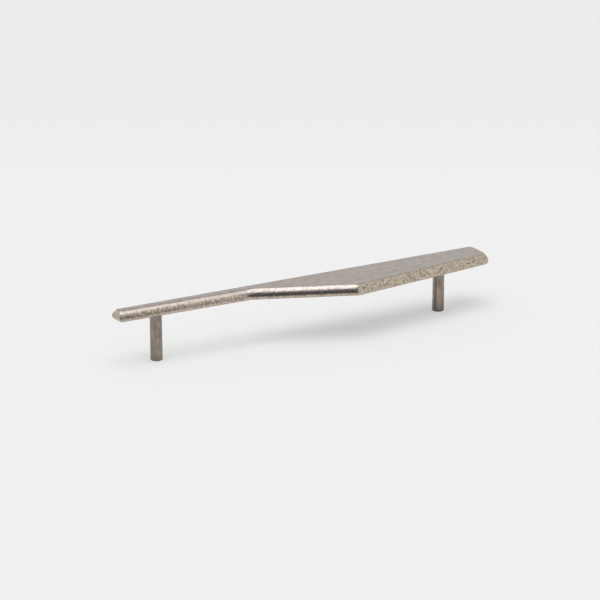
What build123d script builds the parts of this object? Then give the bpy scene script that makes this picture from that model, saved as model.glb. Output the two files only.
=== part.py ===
# Cabinet pull: a cast metal bar with a slim tail that opens into a broad bent blade,
# carried on two turned round posts that take the fixing screws from behind the drawer front.
#
# Millimetres. The origin lies on the drawer front, midway between the two posts. +X runs along
# the line of the posts from the tail to the blade, +Y to the straight back edge, +Z out of the
# drawer front towards the hand.

import os

from build123d import *

# Posts
post_spacing = 224.0
post_diameter = 8.5
post_length = 32.8
foot_chamfer = 0.5
spigot_diameter = 5.0
spigot_length = 3.6
spigot_chamfer = 0.4

# Tapped bore for the fixing screw, M4 at tapping size
screw_bore_diameter = 3.3
screw_bore_depth = 15.0
screw_mouth_chamfer = 0.5
drill_point_depth = 1.0

# Seat of a post in the bar
spigot_clearance = 0.05
spigot_end_gap = 0.3
seat_margin = 0.2

# Bar, seen from the front of the drawer
bar_thickness = 7.8
tail_overhang = 28.0
blade_overhang = 33.7
waist_station = 71.5
shoulder_station = 142.0
waist_reach = 1.25
shoulder_reach = 27.1
blade_end_front = 8.2
blade_end_back = 10.5
tail_end_slant = 0.8
blade_end_slant = 1.35

# Walls, each rounded from the sharp edge of the top face down to the underside. The shoulder of
# a wall lies a depth below the top face, its belly and its heel a height above the underside.
shoulder_depth = 2.3
belly_height = 2.4
heel_height = 0.8

# How far the walls stand out from the edge of the top face at those places
wall_shoulder = 1.8
wall_belly = 2.8
wall_heel = 2.65
wall_underside = 1.9
blade_front_heel = 3.1
blade_front_underside = 2.4
tail_end_shoulder = 1.4
tail_end_belly = 2.0
tail_end_heel = 1.2
tail_end_underside = 0.4
blade_end_shoulder = 1.65
blade_end_belly = 2.85
blade_end_heel = 2.1
blade_end_underside = 0.35

# Roundings of the corners, seen from the front, and of the edge of the top face
tail_corner_radius = 0.8
waist_radius = 20.0
shoulder_radius = 6.0
blade_front_corner_radius = 4.5
blade_back_corner_radius = 2.1
top_edge_radius = 0.35

# Stations along the line of the posts, and the two long edges of the top face. The tail is as
# wide over the tail post as the underside needs to cover the post.
tail_post = -post_spacing / 2
blade_post = post_spacing / 2
tail_end = tail_post - tail_overhang
blade_end = blade_post + blade_overhang
waist = tail_post + waist_station
shoulder = tail_post + shoulder_station
tail_half_width = post_diameter / 2 + seat_margin - wall_underside


def on_line(start, end, station):
    """The point at a station on the straight line through two points."""
    share = (station - start.X) / (end.X - start.X)
    return start + (end - start) * share


back_at_tail_post = Vector(tail_post, tail_half_width)
front_at_tail_post = Vector(tail_post, -tail_half_width)
back_right = Vector(blade_end - blade_end_slant / 2, blade_end_back)
front_right = Vector(blade_end + blade_end_slant / 2, -blade_end_front)
waist_corner = Vector(waist, -waist_reach)
shoulder_corner = Vector(shoulder, -shoulder_reach)
back_left = on_line(back_at_tail_post, back_right, tail_end - tail_end_slant / 2)
front_left = on_line(front_at_tail_post, waist_corner, tail_end + tail_end_slant / 2)

# Corners of the top face, anticlockwise, each with its rounding
corners = [back_left, front_left, waist_corner, shoulder_corner, front_right, back_right]
corner_radii = [
    tail_corner_radius,
    tail_corner_radius,
    waist_radius,
    shoulder_radius,
    blade_front_corner_radius,
    blade_back_corner_radius,
]


def stand_outs(tail_end_wall, long_wall, blade_front_wall, blade_end_wall):
    """Stand-out of each wall, starting with the one between the first two corners."""
    return [tail_end_wall, long_wall, long_wall, blade_front_wall, blade_end_wall, long_wall]


# Outlines from the underside up: height above the underside, and how far the walls stand out
outlines = [
    (0.0, stand_outs(tail_end_underside, wall_underside, blade_front_underside, blade_end_underside)),
    (heel_height, stand_outs(tail_end_heel, wall_heel, blade_front_heel, blade_end_heel)),
    (belly_height, stand_outs(tail_end_belly, wall_belly, wall_belly, blade_end_belly)),
    (
        bar_thickness - shoulder_depth,
        stand_outs(tail_end_shoulder, wall_shoulder, wall_shoulder, blade_end_shoulder),
    ),
    (bar_thickness, stand_outs(0.0, 0.0, 0.0, 0.0)),
]


def stood_out(index, stand_out):
    """A corner of the outline once the two walls that meet there are moved out."""
    before = corners[index - 1]
    corner = corners[index]
    after = corners[(index + 1) % len(corners)]
    along_before = (corner - before).normalized()
    along_after = (after - corner).normalized()
    turn = along_before.cross(along_after).Z
    out_before = stand_out[index - 1]
    out_after = stand_out[index]
    return corner + (along_before * out_after - along_after * out_before) / turn


# Bar: the rounded walls run through the outlines, from the underside to the top face
with BuildPart() as bar:
    for height, stand_out in outlines:
        points = [stood_out(index, stand_out) for index in range(len(corners))]
        with BuildSketch(Plane.XY.offset(post_length + height)):
            with BuildLine():
                Polyline(*points, close=True)
            make_face()
            for point, radius in zip(points, corner_radii):
                fillet(vertices().sort_by_distance(point)[0], radius)
    loft()
    fillet(faces().sort_by(Axis.Z)[-1].edges(), top_edge_radius)
    with BuildSketch(Plane.XY.offset(post_length)):
        with Locations((tail_post, 0), (blade_post, 0)):
            Circle(spigot_diameter / 2 + spigot_clearance)
    extrude(amount=spigot_length + spigot_end_gap, mode=Mode.SUBTRACT)


def turned_post(station):
    """A post turned from round rod: spigot at the top, tapped bore in the foot."""
    radius = post_diameter / 2
    spigot_radius = spigot_diameter / 2
    bore_radius = screw_bore_diameter / 2
    top = post_length + spigot_length
    with BuildPart() as post:
        with BuildSketch(Plane((station, 0, 0), x_dir=(1, 0, 0), z_dir=(0, -1, 0))):
            with BuildLine():
                Polyline(
                    (bore_radius + screw_mouth_chamfer, 0),
                    (radius - foot_chamfer, 0),
                    (radius, foot_chamfer),
                    (radius, post_length),
                    (spigot_radius, post_length),
                    (spigot_radius, top - spigot_chamfer),
                    (spigot_radius - spigot_chamfer, top),
                    (0, top),
                    (0, screw_bore_depth + drill_point_depth),
                    (bore_radius, screw_bore_depth),
                    (bore_radius, screw_mouth_chamfer),
                    close=True,
                )
            make_face()
        revolve(axis=Axis((station, 0, 0), (0, 0, 1)))
    return post


tail_post_piece = turned_post(tail_post)
blade_post_piece = turned_post(blade_post)

os.makedirs("parts", exist_ok=True)
bar.part.label = "bar"
tail_post_piece.part.label = "tail_post"
blade_post_piece.part.label = "blade_post"
export_step(bar.part, "parts/bar.step")
export_step(tail_post_piece.part, "parts/tail_post.step")
export_step(blade_post_piece.part, "parts/blade_post.step")
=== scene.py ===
# Looks of the cabinet pull: the tumbled cast bar, its two drawn posts, and the pale studio
# ground it stands on. Metres, in the same frame as the solids: the origin on the drawer front
# midway between the posts, +X from the tail to the blade, +Z towards the hand.

import math

import bmesh
import bpy
import numpy as np
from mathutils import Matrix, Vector
from mathutils.geometry import delaunay_2d_cdt


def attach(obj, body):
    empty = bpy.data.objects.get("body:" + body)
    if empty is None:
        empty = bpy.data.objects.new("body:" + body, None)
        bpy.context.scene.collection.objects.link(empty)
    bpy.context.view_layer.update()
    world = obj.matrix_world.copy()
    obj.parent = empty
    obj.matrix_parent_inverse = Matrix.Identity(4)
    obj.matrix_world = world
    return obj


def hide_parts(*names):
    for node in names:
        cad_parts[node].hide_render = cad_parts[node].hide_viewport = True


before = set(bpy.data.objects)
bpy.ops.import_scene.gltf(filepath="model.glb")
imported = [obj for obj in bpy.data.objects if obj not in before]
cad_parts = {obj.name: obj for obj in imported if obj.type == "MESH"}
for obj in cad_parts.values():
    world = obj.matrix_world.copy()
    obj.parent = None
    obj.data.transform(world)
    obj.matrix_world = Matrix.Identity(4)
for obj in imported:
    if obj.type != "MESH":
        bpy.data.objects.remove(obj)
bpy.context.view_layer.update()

# The bar is one casting in a grey-brown copper alloy. Its top face is ground flat and left satin,
# the rest keeps the skin of the mould, tumbled until the high spots shine. It is fixed by the
# spigots of the two posts, which sit in blind bores in its underside.

post_spacing = 0.2240
post_length = 0.0328
bar_thickness = 0.0078
bar_underside = post_length
bar_top = bar_underside + bar_thickness

# Stations along the line of the posts, and reach of the top face to the back and to the front
tail_post = -post_spacing / 2
blade_post = post_spacing / 2
tail_end = -0.1400
tail_end_slant = 0.0008
tail_half_width = 0.00255
waist = (-0.0405, -0.00125)
shoulder = (0.0300, -0.0271)
blade_end = 0.1457
blade_end_slant = 0.00135
blade_end_front = 0.0082
blade_end_back = 0.0105


def on_line(start, end, station):
    """The point at a station on the straight line through two points."""
    share = (station - start[0]) / (end[0] - start[0])
    return station, start[1] + (end[1] - start[1]) * share


back_right = (blade_end - blade_end_slant / 2, blade_end_back)
front_right = (blade_end + blade_end_slant / 2, -blade_end_front)
back_left = on_line((tail_post, tail_half_width), back_right, tail_end - tail_end_slant / 2)
front_left = on_line((tail_post, -tail_half_width), waist, tail_end + tail_end_slant / 2)

# Corners of the top face, anticlockwise, each with its rounding
top_corners = [
    (back_left, 0.0008),
    (front_left, 0.0008),
    (waist, 0.0200),
    (shoulder, 0.0060),
    (front_right, 0.0045),
    (back_right, 0.0021),
]

# Height above the underside, and how far the tail end, the long walls, the front of the blade
# and the blade end stand out from the top face there
wall_sections = [
    (0.0000, 0.0004, 0.0019, 0.0024, 0.00035),
    (0.0008, 0.0012, 0.00265, 0.0031, 0.0021),
    (0.0024, 0.0020, 0.0028, 0.0028, 0.00285),
    (0.0055, 0.0014, 0.0018, 0.0018, 0.00165),
    (bar_thickness, 0.0000, 0.0000, 0.0000, 0.0000),
]

# Which of those four walls stands on each side, starting with the tail end
wall_of_side = [0, 1, 1, 2, 3, 1]

# Easing of the two long edges, and the dark line along the upper one, which is partly painted shade
top_edge_height = 0.00028
top_edge_inset = 0.00016
heel_edge_height = 0.00025
heel_edge_inset = 0.00018
rim_width = 0.0004
casting_allowance = 0.00001

# Steps of the mesh: along the walls, up the walls, at both edges and across the flat faces,
# whose points keep a share of a step clear of their outline
skin_step = 0.0005
steps_up = 1.3
fewest_arc_points = 7
heel_share = 0.04
heel_rows = 5
edge_share = 0.045
edge_rows = 8
underside_inset = 0.0003
underside_step = 0.0009
top_step = 0.002
line_share = 0.87
clear_share = 0.6


def wall_rows():
    """Rows up the wall: height and the four stand-outs, with the two long edges eased."""
    table = np.array(wall_sections)
    steps = np.hypot(np.diff(table[:, 0]), np.diff(table[:, 2]))
    along = np.concatenate([[0.0], np.cumsum(steps)]) / steps.sum()
    count = round(steps.sum() / skin_step * steps_up)
    places = np.concatenate(
        [
            np.linspace(0.0, heel_share, heel_rows)[:-1],
            np.linspace(heel_share, 1.0 - edge_share, count),
            1.0 - edge_share * np.cos(np.linspace(0.0, math.pi / 2, edge_rows))[1:],
        ]
    )
    through_all = len(wall_sections) - 1
    curves = [np.polyfit(along, column, through_all) for column in table.T]
    rows = np.stack([np.polyval(curve, places) for curve in curves], 1)
    rise = np.clip((rows[:, 0] - bar_thickness + top_edge_height) / top_edge_height, 0.0, 1.0)
    drop = np.clip(1.0 - rows[:, 0] / heel_edge_height, 0.0, 1.0)
    eased = top_edge_inset * (1.0 - np.sqrt(1.0 - rise**2))
    eased += heel_edge_inset * (1.0 - np.sqrt(1.0 - drop**2))
    rows[:, 1:] -= eased[:, None] + casting_allowance
    return rows


def outline(stand_outs, inset=0.0):
    """One ring round the bar, anticlockwise, its corners rounded."""
    corners = [np.array(place) for place, radius in top_corners]
    outs = [stand_outs[wall] - inset for wall in wall_of_side]
    count = len(corners)
    starts, ends, arcs = [], [], []
    for index, (place, radius) in enumerate(top_corners):
        before = corners[index] - corners[index - 1]
        after = corners[(index + 1) % count] - corners[index]
        before = before / np.linalg.norm(before)
        after = after / np.linalg.norm(after)
        turn = before[0] * after[1] - before[1] * after[0]
        corner = corners[index] + (before * outs[index] - after * outs[index - 1]) / turn
        angle = math.atan2(turn, before @ after)
        reach = radius * math.tan(abs(angle) / 2)
        start = corner - before * reach
        inward = np.array([-before[1], before[0]]) * math.copysign(radius, angle)
        centre = start + inward
        arc_points = max(fewest_arc_points, round(radius * abs(angle) / skin_step) + 1)
        share = np.linspace(0.0, 1.0, arc_points)
        cos, sin = np.cos(angle * share), np.sin(angle * share)
        arm = start - centre
        arc = centre + np.stack([arm[0] * cos - arm[1] * sin, arm[0] * sin + arm[1] * cos], 1)
        starts.append(start)
        ends.append(corner + after * reach)
        arcs.append(arc)
    ring = []
    for index in range(count):
        span = np.linalg.norm(corners[(index + 1) % count] - corners[index])
        share = np.linspace(0.0, 1.0, round(span / skin_step))[1:-1, None]
        ring.append(arcs[index])
        ring.append(ends[index] * (1.0 - share) + starts[(index + 1) % count] * share)
    return np.concatenate(ring)


def filled(ring, spacing):
    """Inside points and triangles that fill a flat ring evenly."""
    low, high = ring.min(0), ring.max(0)
    columns = np.arange(low[0], high[0], spacing)
    lines = np.arange(low[1], high[1], spacing * line_share)
    inside = []
    following = np.roll(ring, -1, 0)
    for number, line in enumerate(lines):
        for column in columns + (number % 2) * spacing / 2:
            crosses = (ring[:, 1] > line) != (following[:, 1] > line)
            first, second = ring[crosses], following[crosses]
            share = (line - first[:, 1]) / (second[:, 1] - first[:, 1])
            right = first[:, 0] + share * (second[:, 0] - first[:, 0]) > column
            nearest = np.hypot(ring[:, 0] - column, ring[:, 1] - line).min()
            if right.sum() % 2 and nearest > spacing * clear_share:
                inside.append((column, line))
    points = [Vector(point) for point in ring.tolist() + inside]
    loop = list(range(len(ring)))
    return np.array(inside), delaunay_2d_cdt(points, [], [loop], 1, 1e-7)[2]


# Rings from just inside the edge of the underside, up the wall, to the inner side of the rim
rows = wall_rows()
rings = [outline(rows[0, 1:], underside_inset)]
rings += [outline(row[1:]) for row in rows]
rings.append(outline(rows[-1, 1:], rim_width))
heights = [0.0, *rows[:, 0], bar_thickness]
around = len(rings[0])
points = [(*point, bar_underside + height) for ring, height in zip(rings, heights) for point in ring]
faces = []
for row in range(len(rings) - 1):
    low, high = row * around, (row + 1) * around
    for spot in range(around):
        beside = (spot + 1) % around
        faces.append((low + spot, low + beside, high + beside, high + spot))
for ring, first, height, facing, spacing in (
    (rings[0], 0, bar_underside, -1, underside_step),
    (rings[-1], (len(rings) - 1) * around, bar_top, 1, top_step),
):
    inside, triangles = filled(ring, spacing)
    added = len(points)
    points += [(*point, height) for point in inside]
    for triangle in triangles:
        corners = [first + one if one < around else added + one - around for one in triangle]
        faces.append(corners[::facing])
blank_mesh = bpy.data.meshes.new("bar_blank")
blank_mesh.from_pydata(points, [], faces)

# The rim is 1 along the top edge and falls to 0 on either side of it
rim_of_rings = [
    float(np.clip(2.0 - (bar_thickness - height) / rim_width, 0.0, 1.0)) for height in heights
]
rim_of_rings[-1] = 0.0
rim_of_points = np.zeros(len(points))
rim_of_points[: around * len(rings)] = np.repeat(rim_of_rings, around)
blank_mesh.attributes.new("rim", "FLOAT", "POINT").data.foreach_set("value", rim_of_points.tolist())
bar_blank = bpy.data.objects.new("bar_blank", blank_mesh)
bpy.context.scene.collection.objects.link(bar_blank)


def add_node(tree, kind, inputs=None, **settings):
    """A node with its settings, its inputs set to values or linked to other sockets."""
    added = tree.nodes.new(kind)
    for name, setting in settings.items():
        setattr(added, name, setting)
    for socket, value in (inputs or {}).items():
        if isinstance(value, bpy.types.NodeSocket):
            tree.links.new(value, added.inputs[socket])
        else:
            added.inputs[socket].default_value = value
    return added


def sum_of(tree, operation, *terms):
    """The result of one sum on numbers or sockets."""
    return add_node(tree, "ShaderNodeMath", dict(enumerate(terms)), operation=operation).outputs[0]


def ranged(tree, value, start, finish, low=0.0, high=1.0, curve="LINEAR"):
    """A value carried from one range to another and held at its ends."""
    ends = {"Value": value, "From Min": start, "From Max": finish, "To Min": low, "To Max": high}
    return add_node(tree, "ShaderNodeMapRange", ends, interpolation_type=curve).outputs["Result"]


def blend(tree, share, first, second):
    """Two numbers mixed by a share."""
    mix = add_node(tree, "ShaderNodeMix", {0: share, 2: first, 3: second}, data_type="FLOAT")
    return mix.outputs[0]


def blend_colours(tree, share, first, second):
    """Two colours mixed by a share."""
    sides = {0: share, 6: first, 7: second}
    for side in (6, 7):
        if isinstance(sides[side], tuple):
            sides[side] = (*sides[side], 1.0)
    return add_node(tree, "ShaderNodeMix", sides, data_type="RGBA").outputs[2]


def colour_ramp(tree, value, *colours):
    """A colour picked by a value from colours spread evenly over 0 to 1."""
    ramp = add_node(tree, "ShaderNodeValToRGB", {0: value})
    stops = ramp.color_ramp.elements
    for number in range(1, len(colours) - 1):
        stops.new(number / (len(colours) - 1))
    for stop, colour in zip(stops, colours):
        stop.color = (*colour, 1.0)
    return ramp.outputs["Color"]


def noise(tree, place, scale, detail, roughness):
    """Uneven values over a place."""
    inputs = {"Vector": place, "Scale": scale, "Detail": detail, "Roughness": roughness}
    return add_node(tree, "ShaderNodeTexNoise", inputs).outputs["Fac"]


def metal_surface(name):
    """An empty metal material and its shader."""
    material = bpy.data.materials.new(name)
    material.use_nodes = True
    shader = material.node_tree.nodes["Principled BSDF"]
    shader.inputs["Metallic"].default_value = 1.0
    return material, shader


cast_metal, cast_shader = metal_surface("tumbled_cast_metal")
tree = cast_metal.node_tree
place = add_node(tree, "ShaderNodeTexCoord").outputs["Object"]
place_parts = add_node(tree, "ShaderNodeSeparateXYZ", {0: place})
station = place_parts.outputs["X"]
height = place_parts.outputs["Z"]

# Share of the ground finish: 1 on the top face, 0 on the skin of the walls
ground_from = bar_top - 0.00012
ground_full = bar_top - 0.00002
ground = ranged(tree, height, ground_from, ground_full)

# Ground top face: long faint grinding lines, cloudy where the alloy took the grit differently
lines_stretch = (0.03, 1.0, 1.0)
lines_place = add_node(
    tree, "ShaderNodeMapping", {"Vector": place, "Scale": lines_stretch}
).outputs["Vector"]
fine_lines = noise(tree, lines_place, scale=2600.0, detail=3.0, roughness=0.6)
broad_lines = noise(tree, lines_place, scale=420.0, detail=3.0, roughness=0.55)
clouds = noise(tree, place, scale=240.0, detail=3.0, roughness=0.6)
lines = sum_of(tree, "ADD", fine_lines, broad_lines)
ground_tone = sum_of(tree, "MULTIPLY_ADD", clouds, 2.0, lines)
ground_tones = (1.5, 2.5)
ground_dark_colour = (0.338, 0.295, 0.27)
ground_pale_colour = (0.468, 0.41, 0.372)
ground_colour = colour_ramp(
    tree, ranged(tree, ground_tone, *ground_tones), ground_dark_colour, ground_pale_colour
)

# Cast skin: pitted grain with oxide left in the low spots and shine on the high ones
grain = noise(tree, place, scale=700.0, detail=4.0, roughness=0.6)
blotches = noise(tree, place, scale=400.0, detail=3.0, roughness=0.6)
recess = add_node(tree, "ShaderNodeAttribute", attribute_name="recess").outputs["Fac"]
skin_tone = sum_of(tree, "ADD", sum_of(tree, "ADD", grain, blotches), recess)
skin_tones = (1.05, 1.95)
oxide_colour = (0.25, 0.20, 0.152)
skin_middle_colour = (0.47, 0.395, 0.315)
high_spot_colour = (0.64, 0.55, 0.46)
skin_colour = colour_ramp(
    tree, ranged(tree, skin_tone, *skin_tones), oxide_colour, skin_middle_colour, high_spot_colour
)

# Below the top edge the skin is painted pale, a painted highlight where the soft box is mirrored,
# weaker on the blade than on the tail and the bend, and the skin is paler towards the heel. The share
# off the tail is 0 on the tail and 1 beyond it.
blade_highlight = 0.35
tail_highlight_colour = (0.575, 0.515, 0.5)
bend_highlight_colour = (0.56, 0.49, 0.438)
heel_pale_colour = (0.52, 0.445, 0.365)
off_tail = ranged(tree, station, waist[0] - 0.0035, waist[0] + 0.0035)
highlight_side = ranged(tree, station, shoulder[0] - 0.001, shoulder[0] + 0.006, 1.0, blade_highlight)
highlight_down_to = ranged(tree, off_tail, 0.0, 1.0, bar_top - 0.0028, bar_top - 0.0034)
highlight_band = ranged(tree, height, highlight_down_to, bar_top - 0.0016, 0.0, highlight_side)
# Painted highlight: the pale band below the top edge, patchy with the skin tone
highlight_paint = sum_of(tree, "MULTIPLY", highlight_band, ranged(tree, skin_tone, 1.1, 1.7, 0.5, 0.75))
highlight_colour = blend_colours(tree, off_tail, tail_highlight_colour, bend_highlight_colour)
skin = blend_colours(tree, highlight_paint, skin_colour, highlight_colour)
# The skin is made paler towards the underside
heel_paling = ranged(tree, height, bar_underside + 0.0026, bar_underside + 0.0008, 0.0, 0.6)
skin = blend_colours(tree, heel_paling, skin, heel_pale_colour)

# Along the top edge a dark line is painted, partly a dark edge of the casting and partly painted
# shade, patchy and darkest on the tail
dark_edge_and_shade_colour = (0.13, 0.105, 0.085)
rim = add_node(tree, "ShaderNodeAttribute", attribute_name="rim").outputs["Fac"]
rim_patches = ranged(tree, clouds, 0.35, 0.65, 0.34, 0.16)
rim_strength = ranged(tree, off_tail, 0.0, 1.0, 2.0, 1.0)
rim_edge_and_shade = ranged(tree, rim, 0.2, 1.0, 0.0, sum_of(tree, "MULTIPLY", rim_patches, rim_strength))
bar_colour = blend_colours(tree, ground, skin, ground_colour)
bar_colour = blend_colours(tree, rim_edge_and_shade, bar_colour, dark_edge_and_shade_colour)

# Bump of both finishes: shallow lines on the ground face, sandy grain on the skin, which is
# coarser on the bend and nearly gone under the painted highlight below the top edge
skin_relief = sum_of(tree, "MULTIPLY_ADD", blotches, 1.2, grain)
relief = blend(tree, ground, skin_relief, fine_lines)
on_bend = sum_of(tree, "MULTIPLY", off_tail, highlight_side)
grain_depth = ranged(tree, on_bend, blade_highlight, 1.0, 0.000032, 0.000055)
skin_depth = ranged(tree, highlight_band, 0.0, 1.0, grain_depth, 0.000006)
relief_depth = ranged(tree, ground, 0.0, 1.0, skin_depth, 0.000004)
bump = add_node(tree, "ShaderNodeBump", {"Height": relief, "Distance": relief_depth})
skin_roughness = ranged(tree, skin_tone, *skin_tones, 0.32, 0.18)
ground_roughness = ranged(tree, ground_tone, *ground_tones, 0.36, 0.28)
bar_roughness = blend(tree, ground, skin_roughness, ground_roughness)
tree.links.new(bar_colour, cast_shader.inputs["Base Color"])
tree.links.new(bar_roughness, cast_shader.inputs["Roughness"])
tree.links.new(bump.outputs["Normal"], cast_shader.inputs["Normal"])


def nodes_tree(name, inputs):
    """A Geometry Nodes tree with named inputs, its group input node and the inputs' identifiers."""
    tree = bpy.data.node_groups.new(name, "GeometryNodeTree")
    tree.interface.new_socket("Geometry", in_out="OUTPUT", socket_type="NodeSocketGeometry")
    identifiers = {}
    for label, kind in inputs:
        socket = tree.interface.new_socket(label, in_out="INPUT", socket_type="NodeSocket" + kind)
        identifiers[label] = socket.identifier
    return tree, tree.nodes.new("NodeGroupInput").outputs, identifiers


def close_tree(tree, geometry, metal):
    """Ends a tree: instances made real, the metal set, the result handed on."""
    real = add_node(tree, "GeometryNodeRealizeInstances", {0: geometry})
    clad = add_node(
        tree, "GeometryNodeSetMaterial", {"Geometry": real.outputs[0], "Material": metal}
    )
    add_node(tree, "NodeGroupOutput", {0: clad.outputs[0]})


def plain_mesh(shape, name, tree, identifiers, values):
    """The object's mesh as the tree leaves it, under its final name."""
    modifier = shape.modifiers.new(tree.name, "NODES")
    modifier.node_group = tree
    for label, value in values.items():
        modifier[identifiers[label]] = value
    bpy.context.view_layer.update()
    evaluated = shape.evaluated_get(bpy.context.evaluated_depsgraph_get())
    mesh = bpy.data.meshes.new_from_object(evaluated)
    shape.modifiers.remove(modifier)
    bpy.data.objects.remove(shape)
    mesh.name = name
    piece = bpy.data.objects.new(name, mesh)
    bpy.context.scene.collection.objects.link(piece)
    return piece


# The skin of the casting: dents and grain cut inward, fading out towards the ground top face
skin_tree, skin_in, skin_inputs = nodes_tree(
    "cast_skin",
    [
        ("Geometry", "Geometry"),
        ("Dent depth", "Float"),
        ("Dent size", "Float"),
        ("Grain depth", "Float"),
        ("Grain size", "Float"),
        ("Ground height", "Float"),
        ("Seed", "Float"),
        ("Metal", "Material"),
    ],
)
skin_place = add_node(skin_tree, "GeometryNodeInputPosition").outputs[0]
unevenness = {}
for label in ("Dent", "Grain"):
    noise_inputs = {
        "Vector": skin_place,
        "W": skin_in["Seed"],
        "Scale": sum_of(skin_tree, "DIVIDE", 1.0, skin_in[label + " size"]),
        "Detail": 2.0,
        "Roughness": 0.5,
    }
    uneven = add_node(skin_tree, "ShaderNodeTexNoise", noise_inputs, noise_dimensions="4D").outputs[0]
    unevenness[label] = ranged(skin_tree, uneven, 0.3, 0.7)
skin_cut = sum_of(
    skin_tree,
    "ADD",
    sum_of(skin_tree, "MULTIPLY", unevenness["Dent"], skin_in["Dent depth"]),
    sum_of(skin_tree, "MULTIPLY", unevenness["Grain"], skin_in["Grain depth"]),
)
skin_height = add_node(skin_tree, "ShaderNodeSeparateXYZ", {0: skin_place}).outputs["Z"]
drop = sum_of(skin_tree, "SUBTRACT", skin_in["Ground height"], skin_height)
below_ground = ranged(skin_tree, drop, 0.0007, 0.0028)
inward = sum_of(
    skin_tree, "MULTIPLY", sum_of(skin_tree, "MULTIPLY", skin_cut, below_ground), -1.0
)
offset = add_node(
    skin_tree,
    "ShaderNodeVectorMath",
    {0: add_node(skin_tree, "GeometryNodeInputNormal").outputs[0], "Scale": inward},
    operation="SCALE",
).outputs[0]
skin_shape = add_node(
    skin_tree,
    "GeometryNodeStoreNamedAttribute",
    {"Geometry": skin_in["Geometry"], "Name": "recess", "Value": unevenness["Grain"]},
    data_type="FLOAT",
    domain="POINT",
).outputs[0]
skin_shape = add_node(
    skin_tree, "GeometryNodeSetPosition", {"Geometry": skin_shape, "Offset": offset}
).outputs[0]
skin_shape = add_node(skin_tree, "GeometryNodeSetShadeSmooth", {0: skin_shape}).outputs[0]
close_tree(skin_tree, skin_shape, skin_in["Metal"])

bar = plain_mesh(
    bar_blank,
    "cast_bar",
    skin_tree,
    skin_inputs,
    {
        "Dent depth": 0.00003,
        "Dent size": 0.0035,
        "Grain depth": 0.000028,
        "Grain size": 0.0016,
        "Ground height": bar_top,
        "Seed": 4.0,
        "Metal": cast_metal,
    },
)
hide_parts("bar")
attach(bar, "root")

# The posts are two lengths of drawn rod of the same alloy. Each has a spigot turned on its top
# for the bore in the bar, an eased foot that bears on the drawer front, and a tapped M4 bore
# for the fixing screw.

post_radius = 0.00425
shoulder_ease = 0.00012
foot_ease = 0.0005
spigot_radius = 0.0025
spigot_length = 0.0036
spigot_chamfer = 0.0004
tap_radius = 0.00165
tap_depth = 0.0145
tap_mouth = 0.0005
drill_tip = 0.0010
thread_pitch = 0.0007
thread_depth = 0.00032
thread_crest = 0.15
thread_root = 0.9
mouth_run_out = 0.0004
end_run_out = 0.0014
bore_margin = 0.00002
post_sides = 72
bearing_edge = 0.0003
wall_points = 28
ease_points = 8
points_per_turn = 8


def lathe_profile():
    """Radius and height of the turned outline, from the middle of the spigot to the drill tip."""
    spigot_top = post_length + spigot_length
    shoulder_edge = post_length - shoulder_ease
    bore_end = tap_depth + tap_mouth
    outer = [
        (0.0, spigot_top),
        (spigot_radius - spigot_chamfer, spigot_top),
        (spigot_radius, spigot_top - spigot_chamfer),
        (spigot_radius, post_length),
        (post_radius - shoulder_ease, post_length),
        (post_radius, shoulder_edge),
    ]
    wall_levels = np.linspace(shoulder_edge, foot_ease, wall_points)[1:-1]
    wall = [(post_radius, level) for level in wall_levels]
    ease = [
        (
            post_radius - foot_ease + foot_ease * math.cos(angle),
            foot_ease - foot_ease * math.sin(angle),
        )
        for angle in np.linspace(0.0, math.pi / 2, ease_points)
    ]
    mouth_radius = tap_radius + tap_mouth
    mouth = [(mouth_radius + bearing_edge, 0.0), (mouth_radius, 0.0)]
    thread_levels = np.arange(tap_mouth, tap_depth, thread_pitch / points_per_turn)
    threads = [(tap_radius, level) for level in thread_levels]
    tip = [(tap_radius, bore_end), (0.0, bore_end + drill_tip)]
    return outer + wall + ease + mouth + threads + tip


profile = lathe_profile()
profile_mesh = bpy.data.meshes.new("lathe_profile")
profile_mesh.from_pydata(
    [(radius, 0.0, level) for radius, level in profile],
    [(index, index + 1) for index in range(len(profile) - 1)],
    [],
)

# Drawn rod: lines along the rod, tarnish between them, and painted shade round the foot where it
# meets the ground
drawn_metal, drawn_shader = metal_surface("drawn_rod_metal")
tree = drawn_metal.node_tree
place = add_node(tree, "ShaderNodeTexCoord").outputs["Object"]
draw_stretch = (1.0, 1.0, 0.02)
rod_dark_colour = (0.17, 0.14, 0.112)
rod_pale_colour = (0.40, 0.335, 0.285)
foot_shade_colour = (0.085, 0.068, 0.054)
along = add_node(tree, "ShaderNodeMapping", {"Vector": place, "Scale": draw_stretch}).outputs[0]
draw_lines = noise(tree, along, scale=1400.0, detail=3.0, roughness=0.6)
tarnish = noise(tree, place, scale=240.0, detail=4.0, roughness=0.6)
rod_level = ranged(tree, sum_of(tree, "ADD", draw_lines, tarnish), 0.65, 1.35)
rod_colour = colour_ramp(tree, rod_level, rod_dark_colour, rod_pale_colour)
rod_height = add_node(tree, "ShaderNodeSeparateXYZ", {0: place}).outputs["Z"]
# Painted shade: the rod darkens over its lowest millimetre
foot_painted_shade = ranged(tree, rod_height, 0.0011, 0.0002, 0.0, 0.65)
rod_colour = blend_colours(tree, foot_painted_shade, rod_colour, foot_shade_colour)
rod_roughness = ranged(tree, rod_level, 0.0, 1.0, 0.28, 0.14)
rod_bump = add_node(tree, "ShaderNodeBump", {"Height": draw_lines, "Distance": 0.000012})
tree.links.new(rod_colour, drawn_shader.inputs["Base Color"])
tree.links.new(rod_roughness, drawn_shader.inputs["Roughness"])
tree.links.new(rod_bump.outputs["Normal"], drawn_shader.inputs["Normal"])

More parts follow.
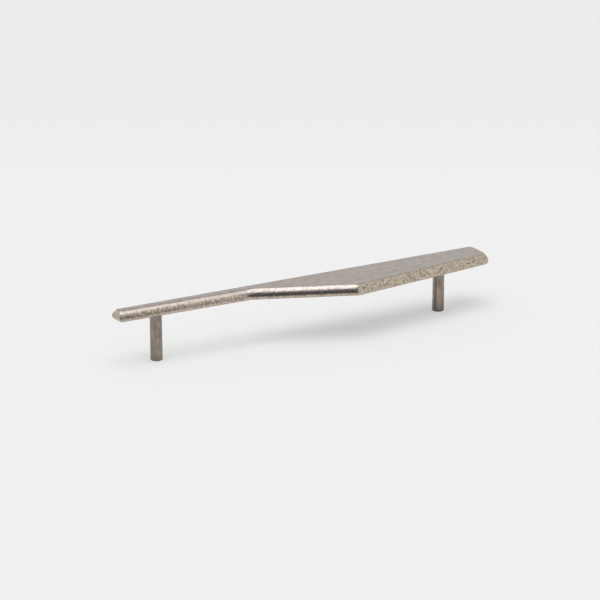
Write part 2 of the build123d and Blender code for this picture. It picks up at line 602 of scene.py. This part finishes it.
# The lathe: a grid of sides by profile points, wrapped round the axis, with the thread cut in it
lathe_tree, lathe_in, lathe_inputs = nodes_tree(
    "turned_post",
    [
        ("Profile", "Geometry"),
        ("Profile points", "Int"),
        ("Sides", "Int"),
        ("Station", "Float"),
        ("Tap radius", "Float"),
        ("Tap mouth", "Float"),
        ("Tap depth", "Float"),
        ("Thread pitch", "Float"),
        ("Thread depth", "Float"),
        ("Metal", "Material"),
    ],
)
profile_points = lathe_in["Profile points"]
lathe_columns = sum_of(lathe_tree, "ADD", lathe_in["Sides"], 1.0)
lathe_shape = add_node(
    lathe_tree, "GeometryNodeMeshGrid", {"Vertices X": lathe_columns, "Vertices Y": profile_points}
).outputs[0]
number = add_node(lathe_tree, "GeometryNodeInputIndex").outputs[0]
side = sum_of(lathe_tree, "FLOOR", sum_of(lathe_tree, "DIVIDE", number, profile_points))
step = sum_of(lathe_tree, "MODULO", number, profile_points)
drawn = add_node(
    lathe_tree,
    "GeometryNodeSampleIndex",
    {
        "Geometry": lathe_in["Profile"],
        "Value": add_node(lathe_tree, "GeometryNodeInputPosition").outputs[0],
        "Index": step,
    },
    data_type="FLOAT_VECTOR",
    domain="POINT",
)
drawn = add_node(lathe_tree, "ShaderNodeSeparateXYZ", {0: drawn.outputs[0]})
drawn_radius = drawn.outputs["X"]
level = drawn.outputs["Z"]

# Right-handed thread, running out at the mouth and before the end of the bore
share = sum_of(lathe_tree, "DIVIDE", side, lathe_in["Sides"])
turns = sum_of(lathe_tree, "DIVIDE", level, lathe_in["Thread pitch"])
winding = sum_of(lathe_tree, "SUBTRACT", turns, share)
flank = sum_of(lathe_tree, "MULTIPLY", sum_of(lathe_tree, "PINGPONG", winding, 0.5), 2.0)
flank = ranged(lathe_tree, flank, thread_crest, thread_root)
past_mouth = sum_of(lathe_tree, "SUBTRACT", level, lathe_in["Tap mouth"])
before_end = sum_of(lathe_tree, "SUBTRACT", lathe_in["Tap depth"], level)
bore_limit = sum_of(lathe_tree, "ADD", lathe_in["Tap radius"], bore_margin)
in_bore = sum_of(lathe_tree, "LESS_THAN", drawn_radius, bore_limit)
cut = sum_of(lathe_tree, "MULTIPLY", flank, lathe_in["Thread depth"])
for limit in (
    ranged(lathe_tree, past_mouth, 0.0, mouth_run_out),
    ranged(lathe_tree, before_end, 0.0, end_run_out),
    in_bore,
):
    cut = sum_of(lathe_tree, "MULTIPLY", cut, limit)
radius = sum_of(lathe_tree, "ADD", drawn_radius, cut)
turned = sum_of(lathe_tree, "MULTIPLY", share, math.tau)
across = sum_of(lathe_tree, "MULTIPLY", radius, sum_of(lathe_tree, "COSINE", turned))
turned_place = add_node(
    lathe_tree,
    "ShaderNodeCombineXYZ",
    {
        "X": sum_of(lathe_tree, "ADD", across, lathe_in["Station"]),
        "Y": sum_of(lathe_tree, "MULTIPLY", radius, sum_of(lathe_tree, "SINE", turned)),
        "Z": level,
    },
).outputs[0]
lathe_shape = add_node(
    lathe_tree, "GeometryNodeSetPosition", {"Geometry": lathe_shape, "Position": turned_place}
).outputs[0]
lathe_shape = add_node(
    lathe_tree, "GeometryNodeMergeByDistance", {"Geometry": lathe_shape, "Distance": 0.000001}
).outputs[0]
lathe_shape = add_node(lathe_tree, "GeometryNodeFlipFaces", {0: lathe_shape}).outputs[0]
edge_angle = add_node(lathe_tree, "GeometryNodeInputMeshEdgeAngle").outputs["Unsigned Angle"]
soft_edge = sum_of(lathe_tree, "LESS_THAN", edge_angle, math.radians(32.0))
lathe_shape = add_node(
    lathe_tree,
    "GeometryNodeSetShadeSmooth",
    {"Geometry": lathe_shape, "Shade Smooth": soft_edge},
    domain="EDGE",
).outputs[0]
close_tree(lathe_tree, lathe_shape, lathe_in["Metal"])

for post_name, post_station in (("tail_post", tail_post), ("blade_post", blade_post)):
    post_profile = bpy.data.objects.new("profile_of_" + post_name, profile_mesh)
    bpy.context.scene.collection.objects.link(post_profile)
    post = plain_mesh(
        post_profile,
        "turned_" + post_name,
        lathe_tree,
        lathe_inputs,
        {
            "Profile points": len(profile),
            "Sides": post_sides,
            "Station": post_station,
            "Tap radius": tap_radius,
            "Tap mouth": tap_mouth,
            "Tap depth": tap_depth,
            "Thread pitch": thread_pitch,
            "Thread depth": thread_depth,
            "Metal": drawn_metal,
        },
    )
    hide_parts(post_name)
    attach(post, "root")

# The ground is a wide sheet of pale matt board. It runs far enough back that no edge of it
# comes into the picture.

board_reach = 8.0
board_near_colour = (0.656, 0.651, 0.641)
board_far_shade_colour = (0.633, 0.628, 0.619)
unlit_colour = (0.02, 0.022, 0.025, 1.0)
camera_heading = math.radians(27.46)
dark_heading = math.radians(20.0)
board_mesh = bpy.data.meshes.new("pale_board")
board = bmesh.new()
bmesh.ops.create_grid(board, x_segments=8, y_segments=8, size=board_reach)
board.to_mesh(board_mesh)
board.free()
pale_board = bpy.data.objects.new("pale_board", board_mesh)
bpy.context.scene.collection.objects.link(pale_board)
board_paint = bpy.data.materials.new("pale_matt_board")
board_paint.use_nodes = True
tree = board_paint.node_tree
board_shader = tree.nodes["Principled BSDF"]
board_shader.inputs["Roughness"].default_value = 0.9
board_shader.inputs["Specular IOR Level"].default_value = 0.0
place = add_node(tree, "ShaderNodeTexCoord").outputs["Object"]


def along_direction(tree, place, direction):
    """How far a place lies along a direction."""
    return add_node(
        tree, "ShaderNodeVectorMath", {0: place, 1: direction}, operation="DOT_PRODUCT"
    ).outputs["Value"]


away = (math.sin(camera_heading), math.cos(camera_heading), 0.0)
behind = along_direction(tree, place, away)
# The board is painted a little darker further back: painted shade where the light falls off
board_colour = colour_ramp(
    tree, ranged(tree, behind, 0.35, 0.62), board_near_colour, board_far_shade_colour
)
tree.links.new(board_colour, board_shader.inputs["Base Color"])

# For the camera the board partly glows, a painted light that keeps the shadow as light as in the
# studio
board_glow = add_node(tree, "ShaderNodeEmission", {"Color": board_colour, "Strength": 1.31})
board_path = add_node(tree, "ShaderNodeLightPath")
glow_share = sum_of(tree, "MULTIPLY", board_path.outputs["Is Camera Ray"], 0.45)
board_mix = add_node(
    tree,
    "ShaderNodeMixShader",
    {0: glow_share, 1: board_shader.outputs[0], 2: board_glow.outputs[0]},
)

# The metal also shows the unlit part of the board at the viewer's feet, a wedge that widens
# towards the dark side of the studio
dark_direction = (-math.sin(dark_heading), -math.cos(dark_heading), 0.0)
side_direction = (math.cos(dark_heading), -math.sin(dark_heading), 0.0)
forward = along_direction(tree, place, dark_direction)
sideways = sum_of(tree, "ABSOLUTE", along_direction(tree, place, side_direction))
into_dark = sum_of(tree, "MULTIPLY_ADD", sideways, -0.72, forward)
unlit = ranged(tree, into_dark, 0.08, 0.3, 0.0, 0.85, "SMOOTHSTEP")
unlit_share = sum_of(tree, "MULTIPLY", board_path.outputs["Is Glossy Ray"], unlit)
unlit_board = add_node(tree, "ShaderNodeBsdfDiffuse", {"Color": unlit_colour})
board_seen = add_node(
    tree,
    "ShaderNodeMixShader",
    {0: unlit_share, 1: board_mix.outputs[0], 2: unlit_board.outputs[0]},
)
tree.links.new(board_seen.outputs[0], tree.nodes["Material Output"].inputs["Surface"])
board_mesh.materials.append(board_paint)

# The light comes from a broad soft box overhead. The far side and the flanks of the studio are
# pale, and the side the viewer stands on is dark up to the edge of the soft box. A lamp of its
# own, leaning a little to the viewer's left, lights the board and gives the shadow its place.

studio = bpy.data.worlds.new("studio")
bpy.context.scene.world = studio
studio.use_nodes = True
tree = studio.node_tree
background = tree.nodes["Background"]
direction = add_node(tree, "ShaderNodeTexCoord").outputs["Generated"]
parts = add_node(tree, "ShaderNodeSeparateXYZ", {0: direction})
rise = sum_of(tree, "ARCSINE", parts.outputs["Z"])
flat_parts = {"X": parts.outputs["X"], "Y": parts.outputs["Y"], "Z": 0.0}
level_direction = add_node(
    tree,
    "ShaderNodeVectorMath",
    {0: add_node(tree, "ShaderNodeCombineXYZ", flat_parts).outputs[0]},
    operation="NORMALIZE",
).outputs[0]
towards_dark = along_direction(tree, level_direction, dark_direction)


def within(tree, closeness, outer, inner, low, high, curve="LINEAR"):
    """A value that changes between two angles, in degrees, from a direction: the closeness to
    that direction is the cosine of the angle."""
    outer_cosine = math.cos(math.radians(outer))
    inner_cosine = math.cos(math.radians(inner))
    return ranged(tree, closeness, outer_cosine, inner_cosine, low, high, curve)


# What the metal mirrors: the sides of the studio, and the soft box from its edge upwards
dark_side = within(tree, towards_dark, 52.0, 34.0, 0.0, 1.0, "SMOOTHSTEP")
side_light = ranged(tree, dark_side, 0.0, 1.0, 0.87, 0.09)
edge_start = within(tree, towards_dark, 55.0, 25.0, math.radians(-4.0), math.radians(27.0))
edge_finish = within(tree, towards_dark, 55.0, 25.0, math.radians(58.0), math.radians(39.0))
box_edge = ranged(tree, rise, edge_start, edge_finish, 0.0, 1.0, "SMOOTHSTEP")
box_front = within(tree, towards_dark, 70.0, 38.0, 0.85, 2.15, "SMOOTHSTEP")
box_middle = ranged(
    tree, rise, math.radians(77.0), math.radians(86.0), 0.0, 1.0, "SMOOTHSTEP"
)
box_light = blend(tree, box_middle, box_front, 1.15)
mirrored_light = blend(tree, box_edge, side_light, box_light)

# What the board is lit by: the lamp and an even light round it
lamp_lean = math.radians(12.5)
lamp_heading = math.radians(43.0)
lamp_direction = (
    -math.sin(lamp_heading) * math.sin(lamp_lean),
    -math.cos(lamp_heading) * math.sin(lamp_lean),
    math.cos(lamp_lean),
)
towards_lamp = along_direction(tree, direction, lamp_direction)
board_light = within(tree, towards_lamp, 32.0, 14.0, 0.75, 4.5, "SMOOTHSTEP")
studio_path = add_node(tree, "ShaderNodeLightPath")
studio_light = blend(tree, studio_path.outputs["Is Glossy Ray"], board_light, mirrored_light)
studio_seen = blend(tree, studio_path.outputs["Is Camera Ray"], studio_light, 0.87)
tree.links.new(studio_seen, background.inputs["Strength"])

# The dark side is a little blue, less so under the soft box
box_share = sum_of(tree, "MULTIPLY", box_edge, 0.65)
blue_share = sum_of(
    tree,
    "MULTIPLY",
    sum_of(tree, "POWER", dark_side, 2.0),
    sum_of(tree, "SUBTRACT", 1.0, box_share),
)
tint = blend_colours(tree, blue_share, (1.0, 1.0, 1.0), (0.84, 0.95, 1.16))
tree.links.new(tint, background.inputs["Color"])

# The camera looks down on the pull from the front left, with a long lens. It is pitched, with
# no shift, so the posts lean by a hair.

camera_rise = math.radians(18.96)
camera_distance = 1.80745
aim_right = -0.00071
aim_up = 0.00504
aim_height = 0.020
back = Vector(
    (
        -math.sin(camera_heading) * math.cos(camera_rise),
        -math.cos(camera_heading) * math.cos(camera_rise),
        math.sin(camera_rise),
    )
)
right = Vector((math.cos(camera_heading), -math.sin(camera_heading), 0.0))
up = back.cross(right)
aim = Vector((0.0, 0.0, aim_height)) + right * aim_right + up * aim_up
lens = bpy.data.cameras.new("photo_camera")
lens.sensor_width = 36.0
lens.lens = 153.94
lens.clip_end = 50.0
camera = bpy.data.objects.new("photo_camera", lens)
camera.location = aim + back * camera_distance
camera.rotation_euler = back.to_track_quat("Z", "Y").to_euler()
bpy.context.scene.collection.objects.link(camera)
bpy.context.scene.camera = camera
bpy.context.scene.view_settings.view_transform = "Standard"
